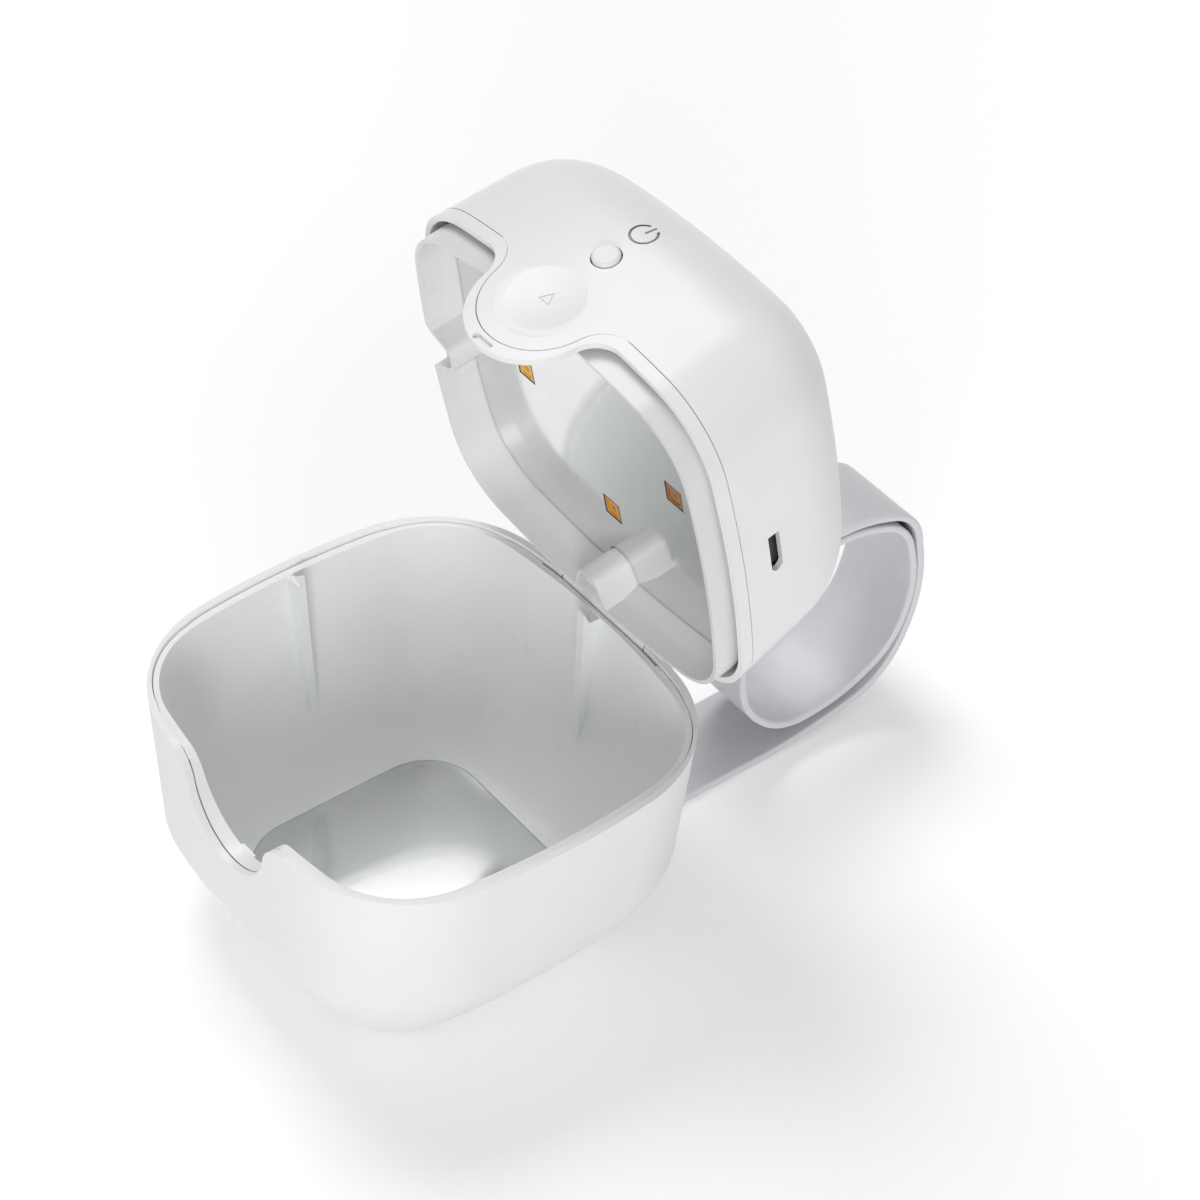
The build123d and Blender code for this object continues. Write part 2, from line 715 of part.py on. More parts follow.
# ---- Lid shell --------------------------------------------------------------------------------
face_lean = Vector(0, -1, -lobe_lean).normalized()
dish_y = lid_front + lobe_lean * dish_centre_drop
dish_face = Plane(origin=(0, dish_y, seam_z - dish_centre_drop), x_dir=(1, 0, 0), z_dir=face_lean)
dish_sphere_r = (dish_r ** 2 + dish_depth ** 2) / (2 * dish_depth)
button_z = seam_z + button_height
button_face = lid_front + lid_front_draft * button_height
socket_z = seam_z + board_bottom + board_thickness + socket_thickness / 2
symbol_z = seam_z + symbol_height
boss_bottom = seam_z + roof_bottom + roof_thickness + part_gap
boss_places = [(x, y) for x in (-boss_x, boss_x) for y in (-boss_y, boss_y)]
screw_seat = seam_z + roof_bottom + lid_screw_head + part_gap

with BuildPart() as power_symbol:
    with BuildSketch(Plane.XZ.offset(-lid_front - 2 * symbol_r)):
        with Locations((0, symbol_z)):
            Circle(symbol_r + symbol_line / 2)
            Circle(symbol_r - symbol_line / 2, mode=Mode.SUBTRACT)
        with Locations((0, symbol_z + symbol_r)):
            Rectangle(4 * symbol_line, symbol_r, mode=Mode.SUBTRACT)
        with Locations((0, symbol_z + symbol_r * 0.6)):
            Rectangle(symbol_line, symbol_r)
    extrude(amount=4 * symbol_r)

with BuildPart() as lid_shell:
    add(lid_outside & slab(tab_line + groove, rim_z + lid_height))
    add(lid_outside & tab_space)
    add(lid_hollow, mode=Mode.SUBTRACT)
    # Screw posts down to the liner
    with BuildSketch(Plane.XY.offset(boss_bottom)):
        with Locations(*boss_places):
            Circle(boss_r)
    extrude(amount=lid_height)
    add(lid_outside, mode=Mode.INTERSECT)
    with BuildSketch(Plane.XY.offset(boss_bottom)):
        with Locations(*boss_places):
            Circle(lid_screw_r + screw_fit)
    extrude(amount=lid_screw_length, mode=Mode.SUBTRACT)
    # Thumb dish with its small triangle
    with BuildSketch(dish_face):
        Circle(dish_r)
    extrude(amount=-dish_depth / 3, mode=Mode.SUBTRACT)
    with Locations(dish_face.offset(dish_sphere_r - dish_depth)):
        Sphere(dish_sphere_r, mode=Mode.SUBTRACT)
    with BuildSketch(dish_face.offset(-dish_depth - mark_depth)):
        RegularPolygon(mark_size, 3, rotation=90)
        RegularPolygon(mark_size - mark_line, 3, rotation=90, mode=Mode.SUBTRACT)
    extrude(amount=dish_depth, mode=Mode.SUBTRACT)
    # Button hole, power symbol and charging port
    with BuildSketch(Plane.XZ.offset(-button_face - 2 * lid_wall)):
        with Locations((0, button_z)):
            Circle(button_r + button_gap)
    extrude(amount=4 * lid_wall, mode=Mode.SUBTRACT)
    add(power_symbol.part - lid_form(symbol_depth), mode=Mode.SUBTRACT)
    with BuildSketch(Plane.YZ.offset(boss_x + boss_r)) as port:
        with Locations((socket_y, socket_z)):
            Rectangle(port_width, port_height)
        chamfer(port.vertices().sort_by(Axis.Z)[:2], port_chamfer)
    extrude(amount=lid_half_width, mode=Mode.SUBTRACT)
save(lid_shell, "lid_shell", on_lid=True)

# ---- Lid liner: skirt and roof ----------------------------------------------------------------
board_low = seam_z + board_bottom
board_high = board_low + board_thickness
roof_z = seam_z + roof_bottom
liner_top = roof_z + roof_thickness
skirt_foot = seam_z - skirt_reach
skirt_outside = lid_form(skirt_inset)
dent_side = lid_half_width - skirt_inset - dent_side_depth
dent_back = lid_back - skirt_inset - dent_back_depth
dent_places = ((dent_back, 90), (dent_side, 180))
lamp_places = [
    (0, lamp_middle_y + lamp_spacing_y), (0, lamp_middle_y - lamp_spacing_y),
    (lamp_spacing_x, lamp_middle_y), (-lamp_spacing_x, lamp_middle_y),
]
board_screw_places = [(x, y) for x in (-board_screw_x, board_screw_x)
                      for y in (-board_screw_y, board_screw_y)]
board_screw_tip = board_high - board_thickness - board_gap - board_screw_depth
button_back = button_face + lid_wall
switch_front = (button_back + button_fit + 2 * button_flange + button_travel + plunger_gap
                + plunger_length)
button_board_y = switch_front + switch_depth + solder_gap


def wall_dent(face, grow, low, high):
    """The room of a dent in the +X wall, its floor at face, grown by a wall's thickness."""
    outer = face + lid_half_width
    shoulder = face + dent_shoulder
    mouth = face + dent_mouth
    with BuildPart() as block:
        with BuildSketch(Plane.XY.offset(low)) as outline:
            with BuildLine():
                Polyline(
                    (face, -dent_floor_half), (face, dent_floor_half),
                    (shoulder, dent_shoulder_half), (mouth, dent_mouth_half),
                    (outer, dent_mouth_half), (outer, -dent_mouth_half),
                    (mouth, -dent_mouth_half), (shoulder, -dent_shoulder_half), close=True
                )
            make_face()
            fillet(outline.vertices().filter_by_position(Axis.X, face - 1, shoulder + 1), dent_round)
            if grow:
                offset(amount=grow)
        extrude(amount=high - low)
    return block.part


with BuildPart() as lid_liner:
    add(skirt_outside & slab(skirt_foot, liner_top))
    add(lid_form(skirt_inset + skirt_wall) & slab(skirt_foot - 1, roof_z), mode=Mode.SUBTRACT)
    # Dents that pass the cup's ribs
    for face, turn in dent_places:
        dent = wall_dent(face, skirt_wall, skirt_foot, roof_z)
        add(dent.rotate(Axis.Z, turn) & skirt_outside)
    for face, turn in dent_places:
        dent = wall_dent(face, 0, skirt_foot - 1, seam_z + dent_top)
        add(dent.rotate(Axis.Z, turn), mode=Mode.SUBTRACT)
    # Pads under the board, and slotted posts for the button board
    with BuildSketch(Plane.XY.offset(liner_top)):
        with Locations(*board_screw_places):
            Circle(board_screw_head_r)
    extrude(amount=board_gap - solder_gap)
    with BuildSketch(Plane.XY.offset(liner_top)):
        for sign in (1, -1):
            with Locations((sign * button_board_half, button_board_y + board_thickness / 2)):
                Rectangle(2 * post_half, 3 * board_thickness)
        with Locations((0, button_board_y + board_thickness / 2)):
            Rectangle(2 * (button_board_half + solder_gap), board_thickness + 2 * solder_gap,
                      mode=Mode.SUBTRACT)
    extrude(amount=post_height)
    # Lamp windows and screw holes
    with BuildSketch(Plane.XY.offset(seam_z)):
        with Locations(*lamp_places):
            Rectangle(lamp_size + board_gap, lamp_size + board_gap)
        with Locations(*boss_places):
            Circle(lid_screw_r + screw_fit)
    extrude(amount=lid_height, mode=Mode.SUBTRACT)
    with BuildSketch(Plane.XY.offset(seam_z)):
        with Locations(*boss_places):
            Circle(lid_screw_head_r + part_gap)
    extrude(amount=screw_seat - seam_z, mode=Mode.SUBTRACT)
    with BuildSketch(Plane.XY.offset(board_screw_tip - solder_gap)):
        with Locations(*board_screw_places):
            Circle(board_screw_r + screw_fit)
    extrude(amount=lid_height, mode=Mode.SUBTRACT)
save(lid_liner, "lid_liner", on_lid=True)

# ---- Reflector panel --------------------------------------------------------------------------
with BuildPart() as reflector_panel:
    reflector_low = seam_z + reflector_bottom
    add(lid_form(skirt_inset + skirt_wall + 2 * part_gap)
        & slab(reflector_low, reflector_low + reflector_thickness))
    for face, turn in dent_places:
        dent = wall_dent(face, skirt_wall + 2 * part_gap, seam_z, roof_z)
        add(dent.rotate(Axis.Z, turn), mode=Mode.SUBTRACT)
    with BuildSketch(Plane.XY.offset(seam_z)):
        with Locations(*lamp_places):
            Rectangle(lamp_size + board_gap, lamp_size + board_gap)
    extrude(amount=lid_height, mode=Mode.SUBTRACT)
save(reflector_panel, "reflector_panel", on_lid=True)

# ---- Lamps ------------------------------------------------------------------------------------
lamp_face = reflector_low + lamp_sunk
with BuildPart() as uv_lamps:
    with BuildSketch(Plane.XY.offset(lamp_face)):
        with Locations(*lamp_places):
            Rectangle(lamp_size, lamp_size)
    extrude(amount=lamp_package)
    with BuildSketch(Plane.XY.offset(lamp_face)):
        with Locations(*lamp_places):
            Rectangle(lamp_base, lamp_base)
    extrude(amount=board_low - solder_gap - lamp_face)
    with BuildSketch(Plane.XY.offset(lamp_face)):
        with Locations(*lamp_places):
            RectangleRounded(lamp_window, lamp_window, lamp_window / 4)
    extrude(amount=lamp_hollow, mode=Mode.SUBTRACT)
save(uv_lamps, "uv_lamps", on_lid=True)

# ---- Main board and what is soldered to it ----------------------------------------------------
with BuildPart() as main_board:
    with BuildSketch(Plane.XY.offset(board_low)):
        RectangleRounded(2 * board_half_width, 2 * board_half_depth, 2)
        with Locations((board_half_width, socket_y - 2)):
            Rectangle(2 * (tongue_end - board_half_width), tongue_width)
        with Locations(*board_screw_places):
            Circle(board_screw_r + screw_fit, mode=Mode.SUBTRACT)
    extrude(amount=board_thickness)
save(main_board, "main_board", on_lid=True)

with BuildPart() as board_chips:
    with BuildSketch(Plane.XY.offset(board_high + solder_gap)):
        for chip_x, chip_y, chip_long, chip_wide in chip_places:
            with Locations((chip_x, chip_y)):
                Rectangle(chip_long, chip_wide)
    extrude(amount=chip_height)
save(board_chips, "board_chips", on_lid=True)

with BuildPart() as hall_sensor:
    with Locations((sensor_x - sensor_size[0] / 2, sensor_y - sensor_size[1] / 2,
                    board_high + solder_gap)):
        Box(*sensor_size, align=Align.MIN)
save(hall_sensor, "hall_sensor", on_lid=True)

socket_mouth = lid_half_width - lid_wall - board_gap - lid_side_draft * button_height
with BuildPart() as charging_socket:
    with BuildSketch(Plane.YZ.offset(socket_mouth)) as socket_outline:
        with Locations((socket_y, socket_z + solder_gap)):
            Rectangle(socket_width, socket_thickness)
        chamfer(socket_outline.vertices().sort_by(Axis.Z)[:2], port_chamfer)
    extrude(amount=-socket_depth)
    with BuildSketch(Plane.YZ.offset(socket_mouth)):
        offset(socket_outline.sketch, amount=-socket_wall, kind=Kind.INTERSECTION)
    extrude(amount=-socket_depth + 3 * socket_wall, mode=Mode.SUBTRACT)
    with BuildSketch(Plane.YZ.offset(socket_mouth - socket_depth)):
        with Locations((socket_y, socket_z + solder_gap)):
            Rectangle(contact_width, contact_thickness)
    extrude(amount=socket_depth - socket_wall)
save(charging_socket, "charging_socket", on_lid=True)

# ---- Battery under the lid's roof, its pad and leads ------------------------------------------
battery_high = seam_z + lid_height - lid_roof - part_gap - pad_thickness - part_gap - 0.6
with BuildPart() as battery:
    with BuildSketch(Plane.XY.offset(battery_high - battery_thickness)):
        with Locations((0, battery_y)):
            Rectangle(battery_width, battery_depth)
    extrude(amount=battery_thickness)
    fillet(battery.edges().filter_by(Axis.Y), battery_edge_r)
save(battery, "battery", on_lid=True)

with BuildPart() as battery_pad:
    with BuildSketch(Plane.XY.offset(battery_high + part_gap)):
        with Locations((0, battery_y)):
            Rectangle(pad_width, pad_depth)
    extrude(amount=pad_thickness)
save(battery_pad, "battery_pad", on_lid=True)

lead_start = battery_width / 2 + solder_gap
lead_high = battery_high - battery_thickness / 2
with BuildPart() as battery_leads:
    for lead_y in lead_places:
        with BuildLine(Plane.XZ.offset(-lead_y)) as lead_path:
            FilletPolyline((lead_start, lead_high), (lead_start + lead_reach, lead_high),
                           (lead_start + lead_reach, board_high + solder_gap), radius=2 * lead_r)
        with BuildSketch(Plane.YZ.offset(lead_start)):
            with Locations((lead_y, lead_high)):
                Circle(lead_r)
        sweep(path=lead_path.line)
save(battery_leads, "battery_leads", on_lid=True)

# ---- Button board, switch and cable -----------------------------------------------------------
with BuildPart() as button_board:
    with BuildSketch(Plane.XZ.offset(-button_board_y)):
        with Locations((0, (liner_top + solder_gap + seam_z + button_board_top) / 2)):
            Rectangle(2 * button_board_half, seam_z + button_board_top - liner_top - solder_gap)
    extrude(amount=-board_thickness)
save(button_board, "button_board", on_lid=True)

with BuildPart() as tact_switch:
    with BuildSketch(Plane.XZ.offset(-switch_front)):
        with Locations((0, button_z)):
            Rectangle(switch_size, switch_size)
    extrude(amount=-switch_depth)
    with BuildSketch(Plane.XZ.offset(-switch_front)):
        with Locations((0, button_z)):
            Circle(plunger_r)
    extrude(amount=plunger_length)
save(tact_switch, "tact_switch", on_lid=True)

with BuildPart() as button_cable:
    with BuildSketch(Plane.XY.offset(board_high + solder_gap)):
        with Locations((0, button_board_y + board_thickness + solder_gap + cable_length / 2)):
            Rectangle(cable_width, cable_length)
    extrude(amount=cable_thickness)
save(button_cable, "button_cable", on_lid=True)

# ---- Power button -----------------------------------------------------------------------------
with BuildPart() as power_button:
    with BuildSketch(Plane.XZ.offset(-button_back - button_fit - button_flange)):
        with Locations((0, button_z)):
            Circle(button_flange_r)
    extrude(amount=button_flange)
    with BuildSketch(Plane.XZ.offset(-button_back - button_fit - button_flange)):
        with Locations((0, button_z)):
            Circle(button_r)
    extrude(amount=button_flange + button_fit + lid_wall + button_proud)
    fillet(power_button.edges().sort_by(Axis.Y)[0], button_proud * 0.7)
    with BuildSketch(Plane.XZ.offset(-button_back - button_fit - button_flange)):
        with Locations((0, button_z)):
            Circle(button_stem_r)
    extrude(amount=-button_flange)
save(power_button, "power_button", on_lid=True)

# ---- Screws -----------------------------------------------------------------------------------
with BuildPart() as lid_screws:
    with BuildSketch(Plane.XY.offset(screw_seat - solder_gap - lid_screw_head)):
        with Locations(*boss_places):
            Circle(lid_screw_head_r)
    extrude(amount=lid_screw_head)
    with BuildSketch(Plane.XY.offset(screw_seat - solder_gap)):
        with Locations(*boss_places):
            Circle(lid_screw_r)
    extrude(amount=lid_screw_length)
    with BuildSketch(Plane.XY.offset(screw_seat - solder_gap - lid_screw_head)):
        for boss_place in boss_places:
            with Locations(boss_place):
                Rectangle(2 * lid_screw_r, lid_screw_head / 2)
                Rectangle(lid_screw_head / 2, 2 * lid_screw_r)
    extrude(amount=lid_screw_head / 2, mode=Mode.SUBTRACT)
save(lid_screws, "lid_screws", on_lid=True)

with BuildPart() as board_screws:
    with BuildSketch(Plane.XY.offset(board_screw_tip)):
        with Locations(*board_screw_places):
            Circle(board_screw_r)
    extrude(amount=board_high + solder_gap - board_screw_tip)
    with BuildSketch(Plane.XY.offset(board_high + solder_gap)):
        with Locations(*board_screw_places):
            Circle(board_screw_head_r)
    extrude(amount=board_screw_head)
    with BuildSketch(Plane.XY.offset(board_high + solder_gap + board_screw_head)):
        for screw_place in board_screw_places:
            with Locations(screw_place):
                Rectangle(2 * board_screw_r, board_screw_head / 3)
                Rectangle(board_screw_head / 3, 2 * board_screw_r)
    extrude(amount=-board_screw_head / 2, mode=Mode.SUBTRACT)
save(board_screws, "board_screws", on_lid=True)
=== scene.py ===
from math import cos, pi, radians, sin, tan

import bpy
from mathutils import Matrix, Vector


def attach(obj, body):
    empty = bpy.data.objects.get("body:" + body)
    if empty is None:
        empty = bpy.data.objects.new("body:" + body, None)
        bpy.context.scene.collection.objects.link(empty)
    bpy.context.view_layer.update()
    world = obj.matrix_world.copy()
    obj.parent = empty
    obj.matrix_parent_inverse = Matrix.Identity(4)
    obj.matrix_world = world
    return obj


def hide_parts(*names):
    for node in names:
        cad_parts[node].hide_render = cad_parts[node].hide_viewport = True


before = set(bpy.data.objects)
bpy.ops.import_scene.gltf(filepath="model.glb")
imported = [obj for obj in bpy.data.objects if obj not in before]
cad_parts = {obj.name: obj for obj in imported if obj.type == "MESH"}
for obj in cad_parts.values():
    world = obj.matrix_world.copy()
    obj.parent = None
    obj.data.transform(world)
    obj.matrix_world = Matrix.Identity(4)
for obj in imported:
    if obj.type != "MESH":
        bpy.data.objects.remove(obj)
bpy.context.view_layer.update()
MM = 0.001

# ---- Places on the lid, in millimetres with the lid shut ----------------------------------------
HINGE_Y = 34.36
HINGE_Z = 39.75
OPEN_ANGLE = radians(80.8)
SEAM_Z = 40.3
SYMBOL_Z = SEAM_Z + 16.1
SYMBOL_R = 2.0
SYMBOL_LINE = 0.42
FRONT_FACE_Y = -20          # the printed symbol is only on what lies in front of this
LAMP_SPACING_X = 17.8
LAMP_SPACING_Y = 16.2
LAMP_MIDDLE_Y = -1.4
LAMP_CHIP = 0.55            # half the size of the dark chip in the middle of a lamp
LAMP_AMBER = 1.55           # half the size of the amber inside its thin dark edge
LEAD_SPLIT_Y = 7.1

# ---- The band, in millimetres -------------------------------------------------------------------
STRAP_WIDTH = 16.0
STRAP_THICKNESS = 1.3
STRAP_ROUTE = [             # (y, height) of the band's middle line, from under the cup
    (6.0, 0.65), (66.0, 0.65), (84.0, 4.6), (90.6, 20.0), (88.6, 36.0),
    (78.0, 40.2), (60.0, 40.2), (54.4, 30.0), (54.6, 13.0), (62.5, 4.4), (75.0, 5.3),
    (85.2, 10.8), (89.1, 22.0), (86.8, 34.4), (77.2, 38.6), (63.5, 38.6),
]
ARC_SHARE = 0.45            # share of the shorter run that each bend takes up
ARC_STEP = radians(5)
RIVET_X = 4.0
RIVET_Y = 10.0
RIVET_R = 1.15
RIVET_HEAD_R = 2.45
RIVET_HEAD_SINK = 0.65      # depth of the hollow for a rivet's head
RIVET_PUNCH = 4.0           # length of the tool that makes a rivet's hole
STUD_Y = 69.0
STUD_Z = 39.4
STUD_R = 1.65
STUD_PUNCH = 8.0
STRAP_EDGE = 0.42           # rounding of the band's edges
STRAP_COLUMNS = 6


# ---- Writing finishes ---------------------------------------------------------------------------
class Field:
    """A value that varies over a surface. Its operators add Math nodes."""

    def __init__(self, finish, socket):
        self.finish = finish
        self.socket = socket

    def math(self, operation, *others):
        values = dict(enumerate((self,) + others))
        return self.finish.node("ShaderNodeMath", {"operation": operation}, values)

    def __add__(self, other):
        return self.math("ADD", other)

    def __sub__(self, other):
        return self.math("SUBTRACT", other)

    def __rsub__(self, other):
        return self.finish.node("ShaderNodeMath", {"operation": "SUBTRACT"}, {0: other, 1: self})

    def __mul__(self, other):
        return self.math("MULTIPLY", other)

    def __abs__(self):
        return self.math("ABSOLUTE")

    def __lt__(self, other):
        return self.math("LESS_THAN", other)

    def __gt__(self, other):
        return self.math("GREATER_THAN", other)

    def least(self, other):
        return self.math("MINIMUM", other)

    def most(self, other):
        return self.math("MAXIMUM", other)

    def root(self):
        return self.math("SQRT")

    def step(self, low, high):
        """0 below low, 1 above high and a smooth rise between them."""
        return self.finish.node(
            "ShaderNodeMapRange", {"interpolation_type": "SMOOTHSTEP"},
            {"Value": self, "From Min": low, "From Max": high},
        )

    __radd__ = __add__
    __rmul__ = __mul__


class Finish:
    """One material, its nodes and the place on the surface in millimetres."""

    def __init__(self, name):
        self.material = bpy.data.materials.new(name)
        self.material.use_nodes = True
        self.tree = self.material.node_tree
        self.shader = self.tree.nodes["Principled BSDF"]
        self.place = self.node("ShaderNodeTexCoord", output="Object")
        axes = self.tree.nodes.new("ShaderNodeSeparateXYZ")
        self.tree.links.new(self.place.socket, axes.inputs[0])
        self.x, self.y, self.z = (Field(self, axes.outputs[axis]) * (1 / MM) for axis in range(3))

    def node(self, kind, settings=None, values=None, output=0):
        made = self.tree.nodes.new(kind)
        for name, setting in (settings or {}).items():
            setattr(made, name, setting)
        for key, value in (values or {}).items():
            if isinstance(value, Field):
                self.tree.links.new(value.socket, made.inputs[key])
            else:
                made.inputs[key].default_value = value
        return Field(self, made.outputs[output])

    def shut(self):
        """(y, z) of the place on a lid piece once the lid is swung shut, in millimetres."""
        y = self.y - HINGE_Y
        z = self.z - HINGE_Z
        return (y * cos(OPEN_ANGLE) - z * sin(OPEN_ANGLE) + HINGE_Y,
                y * sin(OPEN_ANGLE) + z * cos(OPEN_ANGLE) + HINGE_Z)

    def noise(self, size, detail=2.0, roughness=0.5, stretch=None):
        """Noise from 0 to 1 whose features are about size millimetres across."""
        place = self.place
        if stretch:
            place = self.node("ShaderNodeMapping", values={"Vector": place, "Scale": stretch})
        return self.node("ShaderNodeTexNoise", values={
            "Vector": place, "Scale": 1 / (size * MM), "Detail": detail, "Roughness": roughness,
        })

    def cells(self, size):
        """Distance to the nearest of scattered points about size millimetres apart."""
        return self.node("ShaderNodeTexVoronoi", values={
            "Vector": self.place, "Scale": 1 / (size * MM),
        })

    def mix(self, share, first, second):
        """The first colour where share is 0 and the second where it is 1."""
        values = {0: share}
        for key, colour in ((6, first), (7, second)):
            values[key] = colour if isinstance(colour, Field) else (*colour, 1)
        return self.node("ShaderNodeMix", {"data_type": "RGBA"}, values, output=2)

    def bump(self, height, depth, strength=1.0):
        """A normal from a height of 0 to 1 that is depth millimetres deep."""
        return self.node("ShaderNodeBump", values={
            "Height": height, "Distance": depth * MM, "Strength": strength,
        })

    def finish(self, **inputs):
        """Sets the shader's sockets, written with _ for a space, and gives the material."""
        for name, value in inputs.items():
            socket = self.shader.inputs[name.replace("_", " ")]
            if isinstance(value, Field):
                self.tree.links.new(value.socket, socket)
            elif isinstance(value, tuple):
                socket.default_value = (*value, 1)
            else:
                socket.default_value = value
        return self.material


# ---- Finishes -----------------------------------------------------------------------------------
SHELL_WHITE = (0.895, 0.90, 0.905)
SHELL_SHADE = (0.87, 0.875, 0.88)
GRAIN_DEPTH = 0.008
GRAIN_STRENGTH = 0.15


def moulded(finish, colour, shade, grain, rough):
    """Base Color, Roughness and Normal of moulded plastic with a fine spark-eroded grain."""
    flow = finish.noise(22, 3)
    handling = finish.noise(7, 4, 0.6)
    texture = finish.noise(grain, 2, 0.6)
    return {
        "Base_Color": finish.mix(flow.step(0.3, 0.7), colour, shade),
        "Roughness": rough + (handling - 0.5) * 0.14 + (texture - 0.5) * 0.08,
        "Normal": finish.bump(texture, GRAIN_DEPTH, GRAIN_STRENGTH),
    }


def shell_plastic(name="satin shell"):
    finish = Finish(name)
    looks = moulded(finish, SHELL_WHITE, SHELL_SHADE, 0.22, 0.36)
    return finish.finish(**looks)


def printed_shell():
    """The lid's shell, with its printed power symbol."""
    finish = Finish("printed satin shell")
    looks = moulded(finish, SHELL_WHITE, SHELL_SHADE, 0.22, 0.36)
    y, z = finish.shut()
    rise = z - SYMBOL_Z
    reach = (finish.x * finish.x + rise * rise).root()
    across = abs(finish.x)
    ring = (abs(reach - SYMBOL_R) < SYMBOL_LINE / 2) * (1 - (across < 2 * SYMBOL_LINE) * (rise > 0))
    bar = (across < SYMBOL_LINE / 2) * (rise > SYMBOL_R * 0.1) * (rise < SYMBOL_R * 1.1)
    ink = ring.most(bar) * (y < FRONT_FACE_Y)
    looks["Base_Color"] = finish.mix(ink, looks["Base_Color"], (0.27, 0.275, 0.28))
    return finish.finish(**looks)


def liner_plastic(name, colour, shade):
    finish = Finish(name)
    return finish.finish(**moulded(finish, colour, shade, 0.35, 0.30))


def mirror(name, colour, shade, rough):
    """Vacuum-coated plastic: slightly wavy, with a haze of fine wipe marks."""
    finish = Finish(name)
    haze = finish.noise(14, 3)
    wipes = finish.noise(0.5, 3, 0.7, stretch=(1, 0.08, 0.08))
    wave = finish.noise(16, 1)
    return finish.finish(
        Base_Color=finish.mix(haze.step(0.35, 0.7), colour, shade),
        Metallic=1.0,
        Roughness=rough + haze * 0.04 + wipes * 0.03,
        Normal=finish.bump(wave, 0.05, 0.12),
    )


def strap_silicone():
    """Soft matt rubber whose long edges are painted paler as a painted highlight and whose face
    holds a little dust.
    """
    finish = Finish("soft silicone")
    # painted highlight: a paler strip along both long edges of the band
    edge_highlight = abs(finish.x).step(STRAP_WIDTH / 2 - 0.75, STRAP_WIDTH / 2 - 0.1)
    flow = finish.noise(9, 3)
    dust = finish.noise(0.8, 4, 0.7)
    grain = finish.noise(0.25, 2)
    body = finish.mix(flow.step(0.3, 0.7), (0.62, 0.617, 0.645), (0.58, 0.577, 0.607))
    dusty = finish.mix(dust.step(0.62, 0.78) * 0.25, body, (0.72, 0.715, 0.74))
    return finish.finish(
        Base_Color=finish.mix(edge_highlight * 0.75, dusty, (0.73, 0.725, 0.755)),
        Roughness=0.42 + (dust - 0.5) * 0.14,
        Coat_Weight=0.25 + dust * 0.15,
        Coat_Roughness=0.32,
        Normal=finish.bump(grain, 0.010, 0.2),
    )


def lamp():
    """Ceramic lamp packages: an amber window inside a thin dark edge and the small chip behind it,
    the amber painted lighter or darker lamp by lamp as painted light and shade.
    """
    finish = Finish("amber lamp")
    y, _ = finish.shut()
    nearest = None
    for lamp_x, lamp_y in ((0, LAMP_SPACING_Y), (0, -LAMP_SPACING_Y), (LAMP_SPACING_X, 0),
                           (-LAMP_SPACING_X, 0)):
        square = abs(finish.x - lamp_x).most(abs(y - (LAMP_MIDDLE_Y + lamp_y)))
        nearest = square if nearest is None else nearest.least(square)
    glaze = finish.noise(0.6, 3)
    # painted light and shade: one amber in a lit copy and two shaded copies
    bright = finish.mix(glaze, (0.93, 0.50, 0.015), (0.86, 0.42, 0.01))
    half_shaded_amber = finish.mix(glaze, (0.78, 0.32, 0.015), (0.66, 0.25, 0.012))
    shaded_amber = finish.mix(glaze, (0.42, 0.16, 0.025), (0.32, 0.115, 0.02))
    # painted light and shade: the lamp towards the hinge gets the middle copy and the lamp at +x the
    # darkest
    amber = finish.mix(y > LAMP_SPACING_Y / 2 + LAMP_MIDDLE_Y, bright, half_shaded_amber)
    amber = finish.mix(finish.x > LAMP_SPACING_X / 2, amber, shaded_amber)
    chip = finish.mix((nearest < LAMP_CHIP) * 0.6, amber, (0.16, 0.075, 0.02))
    return finish.finish(
        Base_Color=finish.mix(nearest > LAMP_AMBER, chip, (0.13, 0.085, 0.05)),
        Roughness=0.18 + glaze * 0.2,
        Normal=finish.bump(glaze, 0.01, 0.2),
    )


def brushed(name, colour, shade, rough, stretch):
    """Metal with a fine directional grain."""
    finish = Finish(name)
    lines = finish.noise(0.25, 3, 0.65, stretch=stretch)
    stain = finish.noise(3, 3)
    return finish.finish(
        Base_Color=finish.mix(stain, colour, shade),
        Metallic=1.0,
        Roughness=rough + lines * 0.16,
        Normal=finish.bump(lines, 0.008, 0.3),
    )


def circuit_board():
    """Green solder mask over copper tracks, with bare pads."""
    finish = Finish("solder mask")
    y, _ = finish.shut()
    track = finish.node("ShaderNodeTexBrick", {"offset": 0.37}, {
        "Vector": finish.place, "Scale": 1 / (9 * MM), "Mortar Size": 0.045,
        "Mortar Smooth": 0.2,
    }, output="Fac")
    pads = finish.cells(2.6) < 0.16
    weave = finish.noise(0.5, 2)
    mask = finish.mix(track, (0.020, 0.13, 0.045), (0.035, 0.20, 0.07))
    return finish.finish(
        Base_Color=finish.mix(pads, mask, (0.72, 0.60, 0.32)),
        Metallic=pads * 1.0,
        Roughness=0.30 + weave * 0.15 + abs(y) * 0.0005,
        Normal=finish.bump(track, 0.03, 0.5),
    )


def black_plastic():
    finish = Finish("black moulding")
    looks = moulded(finish, (0.022, 0.022, 0.024), (0.032, 0.032, 0.034), 0.18, 0.46)
    return finish.finish(**looks)


def battery_foil():
    """Crinkled pouch-cell foil."""
    finish = Finish("pouch foil")
    crinkle = finish.noise(2.4, 5, 0.6)
    stain = finish.noise(8, 2)
    return finish.finish(
        Base_Color=finish.mix(stain, (0.72, 0.72, 0.74), (0.62, 0.62, 0.65)),
        Metallic=0.9,
        Roughness=0.24 + crinkle * 0.2,
        Normal=finish.bump(crinkle, 0.12, 0.5),
    )


